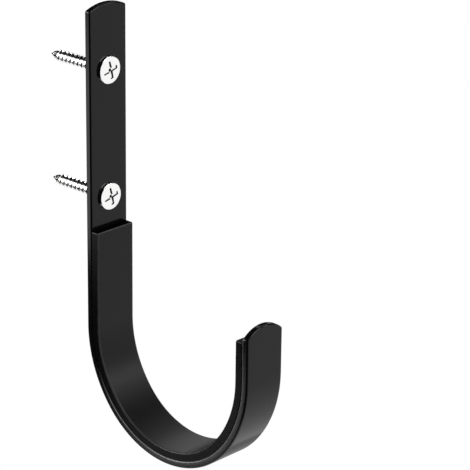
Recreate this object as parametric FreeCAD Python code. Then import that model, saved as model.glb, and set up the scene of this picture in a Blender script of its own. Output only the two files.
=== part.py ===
import FreeCAD, Part
import math
import os

# A J-shaped utility hook that is screwed to a wall. It is three kinds of piece: a flat steel
# bar bent to a J, a rubber liner bonded along the inside of the J, and two washer-head screws.
# Frame: the origin lies on the wall, midway between the two screws. X runs across the bar's
# width, +Y goes into the wall and +Z is up. Lengths are in millimetres, angles in degrees.

# Flat bar and its bend
bar_width = 20.0
bar_thick = 3.0
hook_depth = 89.5        # from the wall to the outer face of the front leg
bend_depth = 48.3        # from the level where the legs end down to the lowest point
shoulder_turn = 41.0     # angle that each side arc turns before the flatter or tighter floor arc
front_leg = 19.0         # straight part of the front leg, up to its corners
top_rise = 2.2           # height of the shallow arc that rounds the top end
tip_rise = 3.9           # height of the rounder arc at the front tip
corner_round = 1.0       # where an end arc meets the sides
bar_edge = 0.75          # rolled edge of the flat bar

# Where the screws sit on the back leg
screw_pitch = 53.2
top_margin = 25.3        # upper screw up to the corners of the top end
bend_margin = 54.0       # lower screw down to the start of the bend

# Rubber liner
liner_thick = 3.6
liner_edge = 0.6         # eased edge of its free side
liner_margin = 12.9      # lower screw down to the liner's square top end
tip_setback = 1.4        # its other end is square too, this far below the corners of the bar's tip

# Washer-head wood screw
screw_length = 33.2      # from under the head to the point
thread_radius = 2.4
neck_radius = 2.0
neck_length = 3.4        # plain part under the head
point_length = 5.5
point_radius = 0.3
hole_clearance = 0.25    # round the thread, so that it passes through the bar
head_radius = 5.85
rim_height = 1.1
rim_draft = 0.15         # how much smaller the top of the rim is than its foot
rim_bevel = 0.3          # eased shoulder between the rim and the crown
crown_height = 0.35      # low dome on top of the rim

# Cross recess in the screw head
recess_span = 7.6
recess_width = 1.6
wing_depth = 0.65        # flat floor of the wings
wing_floor_span = 7.0
socket_depth = 1.4       # where the wings cross
socket_floor = 0.9
recess_turn = 14.0       # how far the cross was left turned, seen from the front

half_width = bar_width / 2
upper_screw_z = screw_pitch / 2
lower_screw_z = -screw_pitch / 2
top_corner_z = upper_screw_z + top_margin
bend_z = lower_screw_z - bend_margin
tip_corner_z = bend_z + front_leg
liner_top_z = lower_screw_z - liner_margin
hole_radius = thread_radius + hole_clearance


def vec(x, y, z):
    return FreeCAD.Vector(x, y, z)


def bend_radii():
    """Outer radii of the side arcs and of the floor arc that give the J its depth and its drop."""
    s = math.sin(math.radians(shoulder_turn))
    c = math.cos(math.radians(shoulder_turn))
    side = (hook_depth / 2 * (1 - s) - bend_depth * c) / (1 - s - c)
    floor = (bend_depth * (1 - c) - hook_depth / 2 * s) / (1 - s - c)
    return side, floor


def bend_arcs(inset):
    """The three tangent arcs of the bend, set inwards by inset, as (start, middle, end) points.

    The first turns down from the back leg, the second is the floor, the third rises to the front.
    """
    side, floor = bend_radii()
    turn = math.radians(shoulder_turn)
    floor_z = bend_z - (side - floor) * math.sin(turn)
    spans = [
        (-side, bend_z, side, 0.0, turn),
        (-hook_depth / 2, floor_z, floor, turn, math.pi - turn),
        (side - hook_depth, bend_z, side, math.pi - turn, math.pi),
    ]
    arcs = []
    for centre_y, centre_z, radius, start, end in spans:
        r = radius - inset
        arcs.append([
            vec(0, centre_y + r * math.cos(a), centre_z - r * math.sin(a))
            for a in (start, (start + end) / 2, end)
        ])
    return arcs


def j_strip(inset, thick, back_top, front_top):
    """A strip that follows the J, inset from its outer face, with both legs cut off level."""
    outer = bend_arcs(inset)
    inner = bend_arcs(inset + thick)
    outer_back = vec(0, -inset, back_top)
    inner_back = vec(0, -inset - thick, back_top)
    outer_front = vec(0, inset - hook_depth, front_top)
    inner_front = vec(0, inset + thick - hook_depth, front_top)
    edges = [Part.makeLine(outer_back, outer[0][0])]
    edges += [Part.Arc(*arc).toShape() for arc in outer]
    edges += [
        Part.makeLine(outer[2][2], outer_front),
        Part.makeLine(outer_front, inner_front),
        Part.makeLine(inner_front, inner[2][2]),
    ]
    edges += [Part.Arc(*reversed(arc)).toShape() for arc in reversed(inner)]
    edges += [
        Part.makeLine(inner[0][0], inner_back),
        Part.makeLine(inner_back, outer_back),
    ]
    face = Part.Face(Part.Wire(edges))
    strip = face.extrude(vec(bar_width, 0, 0))
    strip.translate(vec(-half_width, 0, 0))
    return strip


def above_arc(corner_z, rise, y_low, y_high):
    """What is cut away above a rounded end whose corners lie at corner_z."""
    left = vec(-half_width, y_low, corner_z)
    right = vec(half_width, y_low, corner_z)
    lift = vec(0, 0, 2 * rise)
    side = vec(half_width, 0, 0)
    edges = [
        Part.Arc(left, vec(0, y_low, corner_z + rise), right).toShape(),
        Part.makeLine(right, right + side),
        Part.makeLine(right + side, right + side + lift),
        Part.makeLine(right + side + lift, left - side + lift),
        Part.makeLine(left - side + lift, left - side),
        Part.makeLine(left - side, left),
    ]
    return Part.Face(Part.Wire(edges)).extrude(vec(0, y_high - y_low, 0))


def is_corner(edge):
    """Whether an edge runs through the thickness of a leg at one of its sides."""
    box = edge.BoundBox
    flat = box.XLength < 1e-6 and box.ZLength < 1e-6
    return flat and abs(abs(box.XMin) - half_width) < 1e-6


def skin_rim(strip, inset):
    """The edges round the broad surface of a strip that lies inset from the J's outer face."""
    side, floor = bend_radii()
    radii = (side - inset, floor - inset)
    planes = (-inset, inset - hook_depth)
    skin = []
    for face in strip.Faces:
        surface = face.Surface
        if isinstance(surface, Part.Cylinder) and abs(surface.Axis.x) > 0.5:
            on_skin = any(abs(surface.Radius - r) < 1e-6 for r in radii)
        else:
            box = face.BoundBox
            on_skin = box.YLength < 1e-6 and any(abs(box.YMin - y) < 1e-6 for y in planes)
        if on_skin:
            skin.append(face)
    edges = [e for face in skin for e in face.Edges]
    return [e for e in edges if sum(e.isSame(other) for other in edges) == 1]


def along_screw(shape, z):
    """Turn a shape made about the Z axis so that its own +Z points into the wall at height z."""
    shape.rotate(vec(0, 0, 0), vec(1, 0, 0), -90)
    shape.translate(vec(0, -bar_thick, z))
    return shape


def make_bar():
    top = top_corner_z + top_rise
    tip = tip_corner_z + tip_rise
    bar = j_strip(0, bar_thick, top, tip)
    bar = bar.cut(above_arc(top_corner_z, top_rise, -2 * bar_thick, bar_thick))
    bar = bar.cut(above_arc(tip_corner_z, tip_rise, -hook_depth - bar_thick, 2 * bar_thick - hook_depth))
    bar = bar.makeFillet(corner_round, [e for e in bar.Edges if is_corner(e)])
    bar = bar.makeFillet(bar_edge, skin_rim(bar, 0) + skin_rim(bar, bar_thick))
    for z in (upper_screw_z, lower_screw_z):
        hole = Part.makeCylinder(hole_radius, 3 * bar_thick, vec(0, 0, -bar_thick))
        bar = bar.cut(along_screw(hole, z))
    return bar


def make_liner():
    liner = j_strip(bar_thick, liner_thick, liner_top_z, tip_corner_z - tip_setback)
    liner = liner.makeFillet(corner_round, [e for e in liner.Edges if is_corner(e)])
    return liner.makeChamfer(liner_edge, skin_rim(liner, bar_thick + liner_thick))


def rectangle(z, span, width):
    """The corners of a rectangle about the Z axis, in order."""
    x, y = span / 2, width / 2
    return [vec(-x, -y, z), vec(x, -y, z), vec(x, y, z), vec(-x, y, z)]


def tapered_block(wide, narrow):
    """A block with flat sides between two rectangles, each given as four corners."""
    faces = [wide, narrow]
    for i in range(4):
        k = (i + 1) % 4
        faces.append([wide[i], wide[k], narrow[k], narrow[i]])
    shell = Part.makeShell([Part.Face(Part.makePolygon(f + f[:1])) for f in faces])
    return Part.makeSolid(shell)


def make_recess():
    """The cross that the driver fits: two shallow crossed wings and a deeper socket in the middle."""
    top_z = -rim_height - crown_height
    # the sides of the wings and of the socket lie in the same planes
    wing_floor_width = recess_width - (recess_width - socket_floor) * wing_depth / socket_depth
    recess = tapered_block(
        rectangle(top_z, recess_width, recess_width),
        rectangle(top_z + socket_depth, socket_floor, socket_floor),
    )
    wide = rectangle(top_z, recess_span, recess_width)
    narrow = rectangle(top_z + wing_depth, wing_floor_span, wing_floor_width)
    for quarter in (0, 90):
        wing = tapered_block(wide, narrow)
        wing.rotate(vec(0, 0, 0), vec(0, 0, 1), quarter)
        recess = recess.fuse(wing)
    recess = recess.removeSplitter()
    recess.rotate(vec(0, 0, 0), vec(0, 0, 1), -recess_turn)
    return recess


def head_outline():
    """The head from the top of its dome to its seat: a low dome, an eased shoulder and the rim."""
    rim_top = head_radius - rim_draft
    crown_z = -rim_height - crown_height
    # without its bevel the shoulder would be a corner at rim_top and rim_height
    dome_radius = (rim_top ** 2 + crown_height ** 2) / (2 * crown_height)

    def on_dome(r):
        return vec(r, 0, crown_z + dome_radius - math.sqrt(dome_radius ** 2 - r ** 2))

    dome_edge = on_dome(rim_top - rim_bevel)
    rim_edge = vec(rim_top, 0, dome_edge.z + rim_bevel)
    return [
        Part.Arc(on_dome(0), on_dome(dome_edge.x / 2), dome_edge).toShape(),
        Part.makeLine(dome_edge, rim_edge),
        Part.makeLine(rim_edge, vec(head_radius, 0, 0)),
    ]


def make_screw(z):
    """One screw, turned about its own axis, with +Z towards its point and the head under z 0."""
    thread_end = screw_length - point_length
    outline = head_outline() + [
        Part.makeLine(vec(head_radius, 0, 0), vec(neck_radius, 0, 0)),
        Part.makeLine(vec(neck_radius, 0, 0), vec(neck_radius, 0, neck_length)),
        Part.makeLine(vec(neck_radius, 0, neck_length), vec(thread_radius, 0, neck_length)),
        Part.makeLine(vec(thread_radius, 0, neck_length), vec(thread_radius, 0, thread_end)),
        Part.makeLine(vec(thread_radius, 0, thread_end), vec(point_radius, 0, screw_length)),
        Part.makeLine(vec(point_radius, 0, screw_length), vec(0, 0, screw_length)),
        Part.makeLine(vec(0, 0, screw_length), vec(0, 0, -rim_height - crown_height)),
    ]
    profile = Part.Face(Part.Wire(outline))
    screw = profile.revolve(vec(0, 0, 0), vec(0, 0, 1), 360)
    return along_screw(screw.cut(make_recess()), z)


os.makedirs("parts", exist_ok=True)
pieces = {
    "hook_bar": make_bar(),
    "liner": make_liner(),
    "mounting_screws": Part.makeCompound([make_screw(upper_screw_z), make_screw(lower_screw_z)]),
}
for name, shape in pieces.items():
    shape.exportStep("parts/" + name + ".step")
    print(name, "volume", round(shape.Volume, 1), "valid", shape.isValid(), "solids", len(shape.Solids))
print("bend radii", [round(r, 2) for r in bend_radii()])
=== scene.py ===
import math

import bmesh
import bpy
from mathutils import Matrix, Vector


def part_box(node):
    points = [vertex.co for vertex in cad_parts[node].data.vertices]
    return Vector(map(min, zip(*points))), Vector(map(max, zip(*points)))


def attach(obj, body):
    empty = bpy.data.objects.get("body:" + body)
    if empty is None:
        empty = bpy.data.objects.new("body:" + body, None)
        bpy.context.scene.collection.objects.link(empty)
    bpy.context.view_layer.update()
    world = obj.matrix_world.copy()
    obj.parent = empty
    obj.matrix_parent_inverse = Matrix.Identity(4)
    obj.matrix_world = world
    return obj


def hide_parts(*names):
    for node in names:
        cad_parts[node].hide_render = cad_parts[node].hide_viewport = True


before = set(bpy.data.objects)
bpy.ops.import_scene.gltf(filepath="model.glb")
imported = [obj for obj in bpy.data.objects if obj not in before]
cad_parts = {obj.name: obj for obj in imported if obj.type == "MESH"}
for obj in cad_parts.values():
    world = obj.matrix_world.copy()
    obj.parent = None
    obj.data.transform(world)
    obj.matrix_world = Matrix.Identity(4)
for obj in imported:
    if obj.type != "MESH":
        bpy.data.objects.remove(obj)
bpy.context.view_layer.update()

# The hook's body is one length of 20 x 3 mm flat steel bar, bent cold to a J round three
# tangent arcs. Its top end is cut to a shallow arc and its tip to a rounder one, the edges
# are rolled, and two holes are drilled through the back leg.
MM = 0.001
bar_low, bar_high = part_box("hook_bar")
liner_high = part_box("liner")[1]
half_width = (bar_high.x - bar_low.x) / 2
hook_depth = bar_high.y - bar_low.y
bar_thick = bar_high.y - liner_high.y
bar_edge = 0.75 * MM
bar_corner = 1.0 * MM
top_rise = 2.2 * MM
tip_rise = 3.9 * MM
front_leg = 19.0 * MM
bend_depth = 48.3 * MM
shoulder_turn = math.radians(41)
bend_z = bar_low.z + bend_depth
top_corner = bar_high.z - top_rise
tip_corner = bend_z + front_leg

# The bend's two radii follow from the hook's depth, the bend's drop and the turn of each shoulder.
sin_turn, cos_turn = math.sin(shoulder_turn), math.cos(shoulder_turn)
spread = 1 - sin_turn - cos_turn
side_radius = (hook_depth / 2 * (1 - sin_turn) - bend_depth * cos_turn) / spread
floor_radius = (bend_depth * (1 - cos_turn) - hook_depth / 2 * sin_turn) / spread
floor_z = bend_z - (side_radius - floor_radius) * sin_turn


def on_back_leg(z):
    """A station on the back leg: turns a place across and a depth under the skin to a point."""
    return lambda x, depth: Vector((x, bar_high.y - depth, z))


def on_front_leg(z):
    """A station on the front leg."""
    return lambda x, depth: Vector((x, bar_low.y + depth, z))


def on_bend(angle):
    """A station on the bend, angle 0 at the back leg and pi at the front leg."""
    if angle < shoulder_turn:
        centre_y, centre_z, radius = bar_high.y - side_radius, bend_z, side_radius
    elif angle < math.pi - shoulder_turn:
        centre_y, centre_z, radius = bar_high.y - hook_depth / 2, floor_z, floor_radius
    else:
        centre_y, centre_z, radius = bar_low.y + side_radius, bend_z, side_radius
    c, s = math.cos(angle), math.sin(angle)
    return lambda x, depth: Vector(
        (x, centre_y + (radius - depth) * c, centre_z - (radius - depth) * s)
    )


def j_stations(back_top, front_top):
    """Stations along the J between the corners of its two ends, close together in the bend."""
    leg_step, turn_steps = 3 * MM, 90
    down = max(2, round((back_top - bend_z) / leg_step))
    up = max(2, round((front_top - bend_z) / leg_step))
    stations = [on_back_leg(back_top + (bend_z - back_top) * i / down) for i in range(down)]
    stations += [on_bend(math.pi * i / turn_steps) for i in range(turn_steps + 1)]
    stations += [on_front_leg(bend_z + (front_top - bend_z) * i / up) for i in range(1, up + 1)]
    return stations


def end_outline(rise, corner, inset):
    """Half of a strip's end, from its side to its middle, as (x, height over the end's corner).

    The end is an arc of that rise, or straight for no rise. Its corners are rounded to the
    radius corner, and the whole outline is set in by inset.
    """
    corner_steps, arc_steps = 6, 10
    corner_x = half_width - corner
    reach = corner - inset
    if rise > 0:
        radius = (half_width ** 2 + rise ** 2) / (2 * rise)
        centre = rise - radius
        corner_z = centre + math.sqrt((radius - corner) ** 2 - corner_x ** 2)
        join = math.atan2(corner_z - centre, corner_x)
    else:
        corner_z, join = -corner, math.pi / 2
    points = []
    for i in range(corner_steps + 1):
        a = join * i / corner_steps
        points.append((corner_x + reach * math.cos(a), corner_z + reach * math.sin(a)))
    for i in range(1, arc_steps + 1):
        if rise > 0:
            a, r = join + (math.pi / 2 - join) * i / arc_steps, radius - inset
            points.append((r * math.cos(a), centre + r * math.sin(a)))
        else:
            points.append((corner_x * (1 - i / arc_steps), -inset))
    return points


def bent_strip(name, skin, thick, ends, rims):
    """A flat strip with rounded corners and rolled edges, bent along the J.

    skin is the depth of its outer face under the bar's skin, and thick its thickness. ends gives
    the back end and the front end, each as the height of its corners, its rise and its corners'
    radius. rims gives the roll of the outer edges and of the inner edges.
    """
    (back_height, *back_shape), (front_height, *front_shape) = ends
    outer_roll, inner_roll = rims
    rim_steps, across = 6, 12
    back_side = back_height + end_outline(*back_shape, 0)[0][1]
    front_side = front_height + end_outline(*front_shape, 0)[0][1]
    stations = j_stations(back_side, front_side)
    count = len(stations)

    # The strip's edge is a stack of loops, each an inset from the side and a depth.
    quarter = [math.pi / 2 * k / rim_steps for k in range(rim_steps + 1)]
    loops = [
        (outer_roll * (1 - math.sin(a)), skin + outer_roll * (1 - math.cos(a))) for a in quarter
    ]
    loops += [
        (inner_roll * (1 - math.sin(a)), skin + thick - inner_roll * (1 - math.cos(a)))
        for a in reversed(quarter)
    ]
    bm = bmesh.new()
    rings = []
    for inset, depth in loops:
        x = half_width - inset
        front_half = end_outline(*front_shape, inset)[1:]
        back_half = end_outline(*back_shape, inset)[1:]
        front = [(-px, pz) for px, pz in front_half] + front_half[-2::-1]
        back = back_half + [(-px, pz) for px, pz in back_half[-2::-1]]
        outline = [station(-x, depth) for station in stations]
        outline += [on_front_leg(front_height + pz)(px, depth) for px, pz in front]
        outline += [station(x, depth) for station in reversed(stations)]
        outline += [on_back_leg(back_height + pz)(px, depth) for px, pz in back]
        rings.append([bm.verts.new(point) for point in outline])
    for a, b in zip(rings, rings[1:]):
        for i in range(len(a)):
            k = (i + 1) % len(a)
            bm.faces.new((a[i], a[k], b[k], b[i]))

    # The outer and the inner broad face close the stack.
    for ring, (inset, depth) in ((rings[0], loops[0]), (rings[-1], loops[-1])):
        x = half_width - inset
        end_count = len(ring) // 2 - count
        left, front = ring[:count], ring[count:count + end_count]
        right = ring[count + end_count:2 * count + end_count][::-1]
        back = ring[2 * count + end_count:]
        rows = []
        for station, start, end in zip(stations, left, right):
            places = [(2 * i / across - 1) * x for i in range(1, across)]
            inner = [bm.verts.new(station(place, depth)) for place in places]
            rows.append([start] + inner + [end])
        for a, b in zip(rows, rows[1:]):
            for i in range(across):
                bm.faces.new((a[i], a[i + 1], b[i + 1], b[i]))
        bm.faces.new(rows[-1] + front[::-1])
        bm.faces.new(rows[0] + back)
    bmesh.ops.recalc_face_normals(bm, faces=bm.faces)
    mesh = bpy.data.meshes.new(name)
    bm.to_mesh(mesh)
    bm.free()
    mesh.shade_smooth()
    piece = bpy.data.objects.new(name, mesh)
    bpy.context.collection.objects.link(piece)
    return piece


bar = bent_strip(
    "flat_bar", 0, bar_thick,
    ((top_corner, top_rise, bar_corner), (tip_corner, tip_rise, bar_corner)),
    (bar_edge, bar_edge),
)


def cut_away(piece, cutter):
    """Cuts one closed mesh out of another and deletes the cutter."""
    modifier = piece.modifiers.new("cut", "BOOLEAN")
    modifier.operation = "DIFFERENCE"
    modifier.solver = "EXACT"
    modifier.object = cutter
    graph = bpy.context.evaluated_depsgraph_get()
    cut = bpy.data.meshes.new_from_object(piece.evaluated_get(graph))
    piece.modifiers.clear()
    piece.data = cut
    bpy.data.objects.remove(cutter)


# The holes are drilled on the screws' heights, with clearance round the thread.
screws_low, screws_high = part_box("mounting_screws")
head_radius = (screws_high.x - screws_low.x) / 2
screw_height = screws_high.z - head_radius
hole_radius = 2.65 * MM
for height in (screw_height, -screw_height):
    middle = Matrix.Translation((0, -bar_thick / 2, height))
    through_bar = middle @ Matrix.Rotation(math.pi / 2, 4, "X")
    bm = bmesh.new()
    bmesh.ops.create_cone(
        bm, cap_ends=True, segments=64, radius1=hole_radius, radius2=hole_radius,
        depth=2 * bar_thick, matrix=through_bar,
    )
    drill_mesh = bpy.data.meshes.new("drill")
    bm.to_mesh(drill_mesh)
    bm.free()
    drill = bpy.data.objects.new("drill", drill_mesh)
    bpy.context.collection.objects.link(drill)
    cut_away(bar, drill)


def keep_flats(strip):
    """Rolled edges beside faces that stay flat: the shading follows the larger faces."""
    modifier = strip.modifiers.new("flats", "WEIGHTED_NORMAL")
    modifier.mode = "FACE_AREA_WITH_ANGLE"
    modifier.weight = 80
    modifier.keep_sharp = True


keep_flats(bar)


def linear(code):
    """An sRGB hex colour as the linear colour that shaders use."""
    parts = [int(code[i:i + 2], 16) / 255 for i in (1, 3, 5)]
    return [p / 12.92 if p <= 0.04045 else ((p + 0.055) / 1.055) ** 2.4 for p in parts] + [1.0]


def add(tree, kind, settings=None, links=None):
    """Adds a node: settings are its own properties or its sockets' values, links its sources."""
    node = tree.nodes.new(kind)
    for key, value in (settings or {}).items():
        if isinstance(key, str) and hasattr(node, key):
            setattr(node, key, value)
        else:
            node.inputs[key].default_value = value
    for key, source in (links or {}).items():
        tree.links.new(source, node.inputs[key])
    return node


def new_material(name):
    """An empty material and its node tree."""
    material = bpy.data.materials.new(name)
    material.use_nodes = True
    material.node_tree.nodes.clear()
    return material, material.node_tree


# Black polyester powder coat, sprayed and baked on the steel: a satin black film whose gloss
# clouds a little. Its orange peel is about 0.5 mm across and is drawn at 1.6 mm, so that it shows.
peel_size = 1.6 * MM
coat_cloud_size = 14 * MM
powder_coat, tree = new_material("satin_black_powder_coat")
place = add(tree, "ShaderNodeTexCoord").outputs["Object"]
peel = add(tree, "ShaderNodeTexNoise", {"Scale": 1 / peel_size, "Detail": 2.0}, {"Vector": place})
bump = add(
    tree, "ShaderNodeBump", {"Strength": 0.05, "Distance": 0.02 * MM},
    {"Height": peel.outputs["Fac"]},
)
cloud = add(
    tree, "ShaderNodeTexNoise", {"Scale": 1 / coat_cloud_size, "Detail": 3.0}, {"Vector": place},
)
rough = add(
    tree, "ShaderNodeMapRange",
    {"From Min": 0.3, "From Max": 0.7, "To Min": 0.13, "To Max": 0.18},
    {"Value": cloud.outputs["Fac"]},
)
shade = add(tree, "ShaderNodeValToRGB", {}, {"Fac": cloud.outputs["Fac"]})
shade.color_ramp.elements[0].color = linear("#060606")
shade.color_ramp.elements[1].color = linear("#0a0a0a")
shader = add(
    tree, "ShaderNodeBsdfPrincipled", {"IOR": 1.5, "Specular IOR Level": 0.21},
    {
        "Base Color": shade.outputs["Color"],
        "Roughness": rough.outputs["Result"],
        "Normal": bump.outputs["Normal"],
    },
)
add(tree, "ShaderNodeOutputMaterial", {}, {"Surface": shader.outputs["BSDF"]})
bar.data.materials.clear()
bar.data.materials.append(powder_coat)

# Painted highlight: where the rolled edge meets the liner, the coat is painted a pale grey in
# place of the light that this edge catches. That gives a fine pale line round the bend and up the
# front leg, which fades out before it reaches the back leg.
seam_highlight_starts, seam_highlight_full = -6 * MM, -15 * MM
seam_highlight_streak_size = 5 * MM
seam_highlight_coat, tree = new_material("coat_painted_seam_highlight")
place = add(tree, "ShaderNodeTexCoord").outputs["Object"]
streak = add(
    tree, "ShaderNodeTexNoise", {"Scale": 1 / seam_highlight_streak_size, "Detail": 3.0}, {"Vector": place},
)
pale = add(tree, "ShaderNodeValToRGB", {}, {"Fac": streak.outputs["Fac"]})
pale.color_ramp.elements[0].color = linear("#646464")
pale.color_ramp.elements[1].color = linear("#7e7e7e")
forward = add(tree, "ShaderNodeSeparateXYZ", {}, {"Vector": place}).outputs["Y"]
seam_highlight_fade = add(
    tree, "ShaderNodeMapRange",
    {"From Min": seam_highlight_starts, "From Max": seam_highlight_full, "To Min": 0.0, "To Max": 1.0},
    {"Value": forward},
)
# A colour mix has its factor on socket 0 and its two colours on sockets 6 and 7.
shade = add(
    tree, "ShaderNodeMix", {"data_type": "RGBA", 6: linear("#080808")},
    {0: seam_highlight_fade.outputs["Result"], 7: pale.outputs["Color"]},
)
shader = add(
    tree, "ShaderNodeBsdfPrincipled", {"IOR": 1.5, "Specular IOR Level": 0.3, "Roughness": 0.3},
    {"Base Color": shade.outputs[2]},
)
add(tree, "ShaderNodeOutputMaterial", {}, {"Surface": shader.outputs["BSDF"]})
bar.data.materials.append(seam_highlight_coat)


def on_inner_edge(face):
    """Whether a face is part of a rolled edge on the inside of the J."""
    broad_face, side_face = 0.05, 0.99
    inward = Vector((0, -hook_depth / 2, bend_z)) - face.center
    rolled = broad_face < abs(face.normal.x) < side_face
    return rolled and face.normal.y * inward.y + face.normal.z * inward.z > 0


# The inner rolled edges in front of the back leg take the painted seam highlight.
for face in bar.data.polygons:
    if on_inner_edge(face) and face.center.y < seam_highlight_starts:
        face.material_index = 1
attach(bar, "root")
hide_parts("hook_bar")

# The liner is a strip of black rubber, moulded flat with soft edges and bonded along the inside
# of the J. Both its ends are cut square: below the lower screw and just under the tip's corners.
liner_thick = bar_thick + 0.6 * MM
liner_edge = 0.7 * MM
liner_corner = 0.75 * MM
bonded_edge = 0.2 * MM
tip_setback = 1.4 * MM
liner = bent_strip(
    "rubber_liner", bar_thick, liner_thick,
    ((liner_high.z, 0, liner_corner), (tip_corner - tip_setback, 0, liner_corner)),
    (bonded_edge, liner_edge),
)
keep_flats(liner)

# EPDM rubber, compression moulded: matt black, with the faint even grain of the mould. The real
# grain is about 0.2 mm across and is drawn at 0.8 mm, so that it shows.
mould_grain = 0.8 * MM
rubber, tree = new_material("moulded_black_rubber")
place = add(tree, "ShaderNodeTexCoord").outputs["Object"]
grain = add(
    tree, "ShaderNodeTexNoise", {"Scale": 1 / mould_grain, "Detail": 4.0}, {"Vector": place},
)
bump = add(
    tree, "ShaderNodeBump", {"Strength": 0.10, "Distance": 0.03 * MM},
    {"Height": grain.outputs["Fac"]},
)
shade = add(tree, "ShaderNodeValToRGB", {}, {"Fac": grain.outputs["Fac"]})
shade.color_ramp.elements[0].color = linear("#090909")
shade.color_ramp.elements[1].color = linear("#0e0e0e")
shader = add(
    tree, "ShaderNodeBsdfPrincipled", {"IOR": 1.5, "Specular IOR Level": 0.205, "Roughness": 0.38},
    {"Base Color": shade.outputs["Color"], "Normal": bump.outputs["Normal"]},
)
add(tree, "ShaderNodeOutputMaterial", {}, {"Surface": shader.outputs["BSDF"]})
liner.data.materials.append(rubber)

# The same rubber where a knife slit the strip to width and cut it to length, painted blacker than
# the moulded face as shade. A fine drag of the blade varies its tone. The sides keep a faint
# sheen;
# the upper end has none, which paints the shadow in the gap under the bar.
blade_drag = 1.2 * MM
for name, sheen in (("rubber_side_painted_shade", 0.07), ("rubber_end_painted_shadow", 0.0)):
    shaded_rubber, tree = new_material(name)
    place = add(tree, "ShaderNodeTexCoord").outputs["Object"]
    drag = add(
        tree, "ShaderNodeTexNoise", {"Scale": 1 / blade_drag, "Detail": 3.0}, {"Vector": place},
    )
    shade = add(tree, "ShaderNodeValToRGB", {}, {"Fac": drag.outputs["Fac"]})
    shade.color_ramp.elements[0].color = linear("#020202")
    shade.color_ramp.elements[1].color = linear("#040404")
    rough = add(
        tree, "ShaderNodeMapRange",
        {"From Min": 0.3, "From Max": 0.7, "To Min": 0.22, "To Max": 0.28},
        {"Value": drag.outputs["Fac"]},
    )
    shader = add(
        tree, "ShaderNodeBsdfPrincipled", {"IOR": 1.5, "Specular IOR Level": sheen},
        {"Base Color": shade.outputs["Color"], "Roughness": rough.outputs["Result"]},
    )
    add(tree, "ShaderNodeOutputMaterial", {}, {"Surface": shader.outputs["BSDF"]})
    liner.data.materials.append(shaded_rubber)

# Painted highlight: the liner's soft inner edge is painted a dusty dark grey, in place of the
# light that the rolled edge catches. It draws a thin lighter line round the inside of the J and
# across the liner's upper end.
edge_mottle_size = 3 * MM
rubber_edge_highlight, tree = new_material("rubber_edge_painted_highlight")
place = add(tree, "ShaderNodeTexCoord").outputs["Object"]
edge_mottle = add(
    tree, "ShaderNodeTexNoise", {"Scale": 1 / edge_mottle_size, "Detail": 3.0}, {"Vector": place},
)
shade = add(tree, "ShaderNodeValToRGB", {}, {"Fac": edge_mottle.outputs["Fac"]})
shade.color_ramp.elements[0].color = linear("#242424")
shade.color_ramp.elements[1].color = linear("#343434")
shader = add(
    tree, "ShaderNodeBsdfPrincipled", {"IOR": 1.5, "Specular IOR Level": 0.26, "Roughness": 0.4},
    {"Base Color": shade.outputs["Color"]},
)
add(tree, "ShaderNodeOutputMaterial", {}, {"Surface": shader.outputs["BSDF"]})
liner.data.materials.append(rubber_edge_highlight)

# The liner's sides take the painted shade, and its upper end the painted shadow.
side_facing, end_facing, tilted = 0.95, 0.9, 0.2
for face in liner.data.polygons:
    upper_end = face.center.z > liner_high.z - liner_edge
    end_edge = upper_end and face.normal.z > tilted and face.normal.y < -tilted
    if abs(face.normal.x) > side_facing:
        face.material_index = 1
    elif upper_end and face.normal.z > end_facing:
        face.material_index = 2
    # The inner rolled edge and the upper end's front edge take the painted highlight.
    elif on_inner_edge(face) or end_edge:
        face.material_index = 3
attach(liner, "root")
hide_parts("liner")

# The two screws are cold-headed and thread-rolled from steel wire, with a wide washer head, a
# cross recess and a sharp point. They pass through the bar's holes, and their heads clamp the
# bar to the wall.
thread_radius = 2.4 * MM
core_radius = 1.85 * MM
neck_radius = 2.0 * MM
neck_length = 3.4 * MM
thread_pitch = 2.25 * MM
point_length = 5.5 * MM
rim_height = 1.1 * MM
rim_draft = 0.15 * MM
rim_round = 0.35 * MM
crown_height = 0.35 * MM
recess_turn = math.radians(14)
under_head = -bar_thick
screw_length = screws_high.y - under_head


def thread_skin(y, turn):
    """Radius of the screw at a distance y from under its head and an angle round it."""
    lead_in, tip_radius = 1.2 * MM, 0.1 * MM
    crest, flank = 0.08, 0.14
    point_bow = 1.5
    to_point = max(0.0, (y - (screw_length - point_length)) / point_length)
    taper = to_point ** point_bow
    core = core_radius * (1 - taper) + tip_radius * taper
    outer = thread_radius * (1 - taper) + tip_radius * taper
    phase = (y / thread_pitch - turn / (2 * math.pi)) % 1.0
    away = abs(phase - 0.5)
    height = max(0.0, min(1.0, (flank - away) / (flank - crest / 2)))
    fade = max(0.0, min(1.0, (y - neck_length) / lead_in))
    base = core * fade + neck_radius * (1 - fade)
    return base + max(0.0, outer - base) * height * fade


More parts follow.
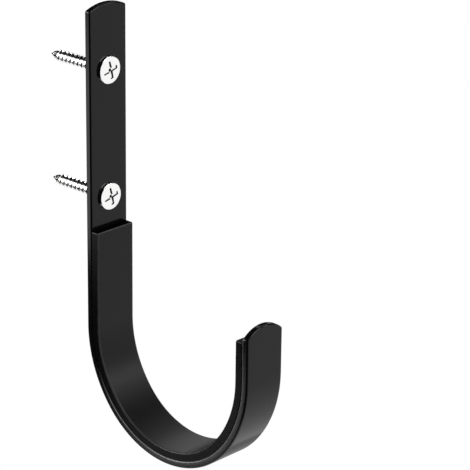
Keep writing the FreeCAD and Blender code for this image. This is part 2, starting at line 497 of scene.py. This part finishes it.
def make_screw(name, height):
    """One screw along the Y axis, its head's seat on the bar and its point in the wall."""
    around, rows_per_turn = 56, 36
    dome_rings, shoulder_rings = 12, 5
    seat_bevel = 0.05 * MM
    head_top = -rim_height - crown_height
    rim_top = head_radius - rim_draft
    dome = (rim_top ** 2 + crown_height ** 2) / (2 * crown_height)
    profile = []
    for i in range(1, dome_rings + 1):
        r = (rim_top - rim_round) * i / dome_rings
        profile.append((r, head_top + dome - math.sqrt(dome ** 2 - r ** 2)))
    shoulder_y = profile[-1][1]
    for i in range(1, shoulder_rings + 1):
        a = math.pi / 2 * i / shoulder_rings
        profile.append((
            rim_top - rim_round + rim_round * math.sin(a),
            shoulder_y + rim_round * (1 - math.cos(a)),
        ))
    profile += [(head_radius, -seat_bevel), (head_radius - seat_bevel, 0.0)]
    profile += [(neck_radius, 0.0), (neck_radius, neck_length)]

    bm = bmesh.new()
    rings = []
    turns = [2 * math.pi * k / around for k in range(around)]
    for r, y in profile:
        rings.append([bm.verts.new((r * math.cos(turn), y, r * math.sin(turn))) for turn in turns])
    middle = bm.verts.new((0, head_top, 0))
    for k in range(around):
        bm.faces.new((middle, rings[0][(k + 1) % around], rings[0][k]))
    steps = round((screw_length - neck_length) / (thread_pitch / rows_per_turn))
    for j in range(1, steps + 1):
        y = neck_length + (screw_length - neck_length) * j / steps
        ring = []
        for turn in turns:
            r = thread_skin(y, turn)
            ring.append(bm.verts.new((r * math.cos(turn), y, r * math.sin(turn))))
        rings.append(ring)
    for a, b in zip(rings, rings[1:]):
        for k in range(around):
            n = (k + 1) % around
            bm.faces.new((a[k], a[n], b[n], b[k]))
    bm.faces.new(rings[-1])
    bmesh.ops.recalc_face_normals(bm, faces=bm.faces)
    mesh = bpy.data.meshes.new(name)
    bm.to_mesh(mesh)
    bm.free()
    mesh.transform(Matrix.Translation((0, under_head, height)))
    mesh.shade_smooth()
    screw = bpy.data.objects.new(name, mesh)
    bpy.context.collection.objects.link(screw)
    return screw


def recess_punch(height):
    """The cross that the driver fits, as one closed mesh: flat-floored wings and a socket."""
    top = -rim_height - crown_height
    over, wing_depth, socket_depth = 0.3 * MM, 0.65 * MM, 1.4 * MM
    wing_reach, wing_half = 3.94 * MM, 0.87 * MM
    wing_floor_reach, wing_floor_half = 3.5 * MM, 0.64 * MM
    socket_reach = 0.65 * MM
    socket_floor_reach, socket_floor_half = 0.46 * MM, 0.45 * MM
    levels = [
        (top - over, wing_reach, wing_half),
        (top + wing_depth, wing_floor_reach, wing_floor_half),
        (top + wing_depth, socket_reach, wing_floor_half),
        (top + socket_depth, socket_floor_reach, socket_floor_half),
    ]
    bm = bmesh.new()
    rings = []
    for y, reach, half in levels:
        ring = []
        for q in range(4):
            a = recess_turn + q * math.pi / 2
            along = Vector((math.cos(a), math.sin(a)))
            beside = Vector((-math.sin(a), math.cos(a)))
            valley = along * half - beside * half
            wing_end = (along * reach - beside * half, along * reach + beside * half)
            for p in (valley, *wing_end):
                ring.append(bm.verts.new((p.x, y, p.y)))
        rings.append(ring)
    count = len(rings[0])
    for a, b in zip(rings, rings[1:]):
        for k in range(count):
            n = (k + 1) % count
            bm.faces.new((a[k], a[n], b[n], b[k]))
    bm.faces.new(rings[0])
    bm.faces.new(rings[-1][::-1])
    bmesh.ops.recalc_face_normals(bm, faces=bm.faces)
    mesh = bpy.data.meshes.new("recess")
    bm.to_mesh(mesh)
    bm.free()
    mesh.transform(Matrix.Translation((0, under_head, height)))
    punch = bpy.data.objects.new("recess", mesh)
    bpy.context.collection.objects.link(punch)
    return punch


# Bright zinc plate on steel: a clean pale metal, a little soft where the barrel tumbled it.
zinc_cloud_size = 2.5 * MM
zinc, tree = new_material("bright_zinc_plate")
place = add(tree, "ShaderNodeTexCoord").outputs["Object"]
cloud = add(
    tree, "ShaderNodeTexNoise", {"Scale": 1 / zinc_cloud_size, "Detail": 3.0}, {"Vector": place},
)
rough = add(
    tree, "ShaderNodeMapRange",
    {"From Min": 0.3, "From Max": 0.7, "To Min": 0.10, "To Max": 0.16},
    {"Value": cloud.outputs["Fac"]},
)
shade = add(tree, "ShaderNodeValToRGB", {}, {"Fac": cloud.outputs["Fac"]})
shade.color_ramp.elements[0].color = linear("#f5f6f6")
shade.color_ramp.elements[1].color = linear("#fdfdfb")
shader = add(
    tree, "ShaderNodeBsdfPrincipled", {"Metallic": 1.0},
    {"Base Color": shade.outputs["Color"], "Roughness": rough.outputs["Result"]},
)
add(tree, "ShaderNodeOutputMaterial", {}, {"Surface": shader.outputs["BSDF"]})

# The walls of the recess are painted a dark grey as painted shade, which draws the cross in dark
# strokes.
wall_mottle_size = 0.4 * MM
recess_wall_shade, tree = new_material("recess_wall_painted_shade")
place = add(tree, "ShaderNodeTexCoord").outputs["Object"]
wall_mottle = add(tree, "ShaderNodeTexNoise", {"Scale": 1 / wall_mottle_size, "Detail": 3.0}, {"Vector": place})
shade = add(tree, "ShaderNodeValToRGB", {}, {"Fac": wall_mottle.outputs["Fac"]})
shade.color_ramp.elements[0].color = linear("#242424")
shade.color_ramp.elements[1].color = linear("#3c3c3c")
rough = add(
    tree, "ShaderNodeMapRange",
    {"From Min": 0.3, "From Max": 0.7, "To Min": 0.3, "To Max": 0.4},
    {"Value": wall_mottle.outputs["Fac"]},
)
shader = add(
    tree, "ShaderNodeBsdfPrincipled", {"Metallic": 1.0},
    {"Base Color": shade.outputs["Color"], "Roughness": rough.outputs["Result"]},
)
add(tree, "ShaderNodeOutputMaterial", {}, {"Surface": shader.outputs["BSDF"]})

recess_radius = 4.2 * MM
seat_skin = 0.02 * MM
wall_facing = 0.9
smooth_angle = math.radians(35)
for name, height in (("upper_screw", screw_height), ("lower_screw", -screw_height)):
    screw = make_screw(name, height)
    cut_away(screw, recess_punch(height))
    screw.data.set_sharp_from_angle(angle=smooth_angle)
    screw.data.materials.clear()
    screw.data.materials.append(zinc)
    screw.data.materials.append(recess_wall_shade)
    # The walls of the recess take the painted shade.
    for face in screw.data.polygons:
        from_axis = math.hypot(face.center.x, face.center.z - height)
        in_recess = from_axis < recess_radius and under_head - face.center.y > seat_skin
        if in_recess and abs(face.normal.y) < wall_facing:
            face.material_index = 1
    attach(screw, "root")
    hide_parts("mounting_screws")

# The floor is one sheet of white paper, and the hook is shown as it hangs, 1.6 m above it. The
# camera and the reflections see the paper as plain white, and its own matt tone lights the hook.
floor_drop, floor_half = 1.6, 6.0
floor_mesh = bpy.data.meshes.new("floor")
bm = bmesh.new()
bmesh.ops.create_grid(bm, x_segments=8, y_segments=8, size=floor_half)
bm.to_mesh(floor_mesh)
bm.free()
floor = bpy.data.objects.new("floor", floor_mesh)
floor.location = (0, 0, -floor_drop)
bpy.context.collection.objects.link(floor)


def seen_directly(tree):
    """A socket that is 1 where the camera, a reflection or a clear surface looks, and else 0."""
    ray = add(tree, "ShaderNodeLightPath")
    seen = add(
        tree, "ShaderNodeMath", {"operation": "MAXIMUM"},
        {0: ray.outputs["Is Camera Ray"], 1: ray.outputs["Is Glossy Ray"]},
    )
    seen = add(
        tree, "ShaderNodeMath", {"operation": "MAXIMUM"},
        {0: seen.outputs[0], 1: ray.outputs["Is Transmission Ray"]},
    )
    return seen.outputs[0]


paper, tree = new_material("white_paper")
matt = add(tree, "ShaderNodeBsdfDiffuse", {"Color": linear("#f2f2f2")})
white = add(tree, "ShaderNodeEmission", {"Color": (1, 1, 1, 1), "Strength": 1.0})
mix = add(
    tree, "ShaderNodeMixShader", {},
    {0: seen_directly(tree), 1: matt.outputs[0], 2: white.outputs[0]},
)
add(tree, "ShaderNodeOutputMaterial", {}, {"Surface": mix.outputs[0]})
floor_mesh.materials.append(paper)

# The studio is an even white room at a plain level, and a camera or a reflection sees it as white.
room_light = 0.6
scene = bpy.context.scene
world = bpy.data.worlds.new("studio")
scene.world = world
world.use_nodes = True
tree = world.node_tree
tree.nodes.clear()
level = add(
    tree, "ShaderNodeMapRange",
    {"From Min": 0.0, "From Max": 1.0, "To Min": room_light, "To Max": 1.0},
    {"Value": seen_directly(tree)},
)
sky = add(
    tree, "ShaderNodeBackground", {"Color": (1, 1, 1, 1)}, {"Strength": level.outputs["Result"]},
)
add(tree, "ShaderNodeOutputWorld", {}, {"Surface": sky.outputs[0]})


def toward(azimuth, elevation):
    """The direction from the hook to a place in the room. Azimuth 0 is straight in front of it."""
    a, e = math.radians(azimuth), math.radians(elevation)
    return Vector((math.sin(a) * math.cos(e), -math.cos(a) * math.cos(e), math.sin(e)))


def softbox(name, target, azimuth, elevation, distance, side, brightness):
    """A square lamp facing a point of the hook. A brightness of 1 looks as bright as the floor."""
    light = bpy.data.lights.new(name, "AREA")
    light.shape = "SQUARE"
    light.size = side
    light.energy = brightness * math.pi * side ** 2
    lamp = bpy.data.objects.new(name, light)
    lamp.location = target + toward(azimuth, elevation) * distance
    lamp.rotation_euler = toward(azimuth, elevation).to_track_quat("Z", "Y").to_euler()
    lamp.visible_camera = False
    bpy.context.collection.objects.link(lamp)


# Softboxes: the key shows as a soft band in the liner's bend, the fill and the rim light soften
# the far side and the top, the rear one edges the back leg, and the two small ones stand low to
# the left, where the sides of the J mirror them.
hook_middle = Vector((0, -hook_depth / 2, -0.04))
back_leg_side = Vector((0, 0, 0.01))
bend_side = Vector((-0.01, -0.062, -0.130))
softbox("key", hook_middle, azimuth=45, elevation=18, distance=1.2, side=0.22, brightness=8.5)
softbox("fill", hook_middle, azimuth=114, elevation=42, distance=1.3, side=1.0, brightness=0.9)
softbox("rim_light", hook_middle, azimuth=16, elevation=38, distance=1.2, side=0.8, brightness=5.0)
softbox("rear_left", hook_middle, azimuth=-140, elevation=15, distance=1.2, side=0.5, brightness=9)
softbox(
    "low_left", back_leg_side,
    azimuth=-134, elevation=-20, distance=0.33, side=0.12, brightness=1.15,
)
softbox(
    "low_front", bend_side,
    azimuth=-134, elevation=-20.6, distance=0.33, side=0.05, brightness=3.0,
)

# Black velvet and one grey card stand round the hook, seen only in its gloss: they keep the black
# coat and rubber dark where the white room would show in them, and shape their soft gradients.
velvet, tree = new_material("black_velvet")
nap = add(tree, "ShaderNodeBsdfDiffuse", {"Color": linear("#020202")})
add(tree, "ShaderNodeOutputMaterial", {}, {"Surface": nap.outputs[0]})

grey_card, tree = new_material("grey_card")
grey = add(tree, "ShaderNodeEmission", {"Color": (1, 1, 1, 1), "Strength": 0.4})
add(tree, "ShaderNodeOutputMaterial", {}, {"Surface": grey.outputs[0]})


def hang(name, bm, stuff):
    """Hangs a cloth or card in the room, where only reflections see it."""
    mesh = bpy.data.meshes.new(name)
    bm.to_mesh(mesh)
    bm.free()
    drape = bpy.data.objects.new(name, mesh)
    bpy.context.collection.objects.link(drape)
    drape.visible_camera = False
    drape.visible_diffuse = False
    drape.visible_transmission = False
    drape.visible_shadow = False
    mesh.materials.append(stuff)


def curtain(name, stuff, azimuths, low, high, distance):
    """A curved curtain round the hook, from one azimuth to another, between two heights."""
    steps = 24
    bm = bmesh.new()
    rows = []
    for i in range(steps + 1):
        azimuth = azimuths[0] + (azimuths[1] - azimuths[0]) * i / steps
        foot = hook_middle + toward(azimuth, 0) * distance
        rows.append([bm.verts.new((foot.x, foot.y, z)) for z in (low, high)])
    for a, b in zip(rows, rows[1:]):
        bm.faces.new((a[0], a[1], b[1], b[0]))
    hang(name, bm, stuff)


curtain("black_drum", velvet, azimuths=(-118, 126), low=0.10, high=1.6, distance=1.6)
curtain("left_curtain", velvet, azimuths=(-122, -4), low=-0.6, high=1.6, distance=0.45)
curtain("low_card", velvet, azimuths=(-155, -122), low=-0.31, high=-0.17, distance=0.36)
curtain("right_curtain", velvet, azimuths=(78, 150), low=-0.6, high=-0.1, distance=1.0)
curtain("rear_card", velvet, azimuths=(145, 205), low=-0.6, high=0.12, distance=0.42)
curtain("bend_card", grey_card, azimuths=(98, 134), low=-0.55, high=-0.27, distance=0.30)

ceiling_height, ceiling_radius = 1.5, 1.7
bm = bmesh.new()
bmesh.ops.create_circle(
    bm, cap_ends=True, segments=48, radius=ceiling_radius,
    matrix=Matrix.Translation((0, 0, ceiling_height)),
)
hang("black_ceiling", bm, velvet)

# Two velvet flags close behind the legs keep the far rolled edges dark, where they would mirror
# the white room. Their corners are in millimetres.
leg_flag = [
    (15, 85, -90), (45, 57.5, -90), (45, 57.5, -45), (75, 30, -45), (75, 30, 130), (15, 85, 130),
]
tip_flag = [(77, -36, -48), (50, -11, -48), (50, -11, 10), (77, -36, 10)]
for name, corners in (("leg_flag", leg_flag), ("tip_flag", tip_flag)):
    bm = bmesh.new()
    bm.faces.new([bm.verts.new(Vector(corner) * MM) for corner in corners])
    hang(name, bm, velvet)

# The camera stands where the photograph was taken from: 0.93 m away, to the left of the hook and
# above it. Its place, its lens and its small shift were fitted to the hook's edges.
camera_azimuth = math.radians(-46.07)
camera_elevation = math.radians(20.607)
camera_roll = math.radians(0.396)
camera_distance = 928.1 * MM
focal_px, frame_px, centre_px = 2365.1, 470, 194.75
look_at = Vector((0, -51.27 * MM, bend_z + 49.85 * MM))
back = Vector((
    math.sin(camera_azimuth) * math.cos(camera_elevation),
    -math.cos(camera_azimuth) * math.cos(camera_elevation),
    math.sin(camera_elevation),
))
right = Vector((math.cos(camera_azimuth), math.sin(camera_azimuth), 0))
up = back.cross(right)
right, up = (
    right * math.cos(camera_roll) + up * math.sin(camera_roll),
    up * math.cos(camera_roll) - right * math.sin(camera_roll),
)
lens = bpy.data.cameras.new("camera")
lens.sensor_width = 36
lens.lens = lens.sensor_width * focal_px / frame_px
lens.shift_x = (frame_px / 2 - centre_px) / frame_px
lens.clip_start = 0.05
camera = bpy.data.objects.new("camera", lens)
turned = Matrix((
    (right.x, up.x, back.x, 0),
    (right.y, up.y, back.y, 0),
    (right.z, up.z, back.z, 0),
    (0, 0, 0, 1),
))
camera.matrix_world = Matrix.Translation(look_at + back * camera_distance) @ turned
bpy.context.collection.objects.link(camera)
scene.camera = camera
scene.view_settings.view_transform = "Standard"
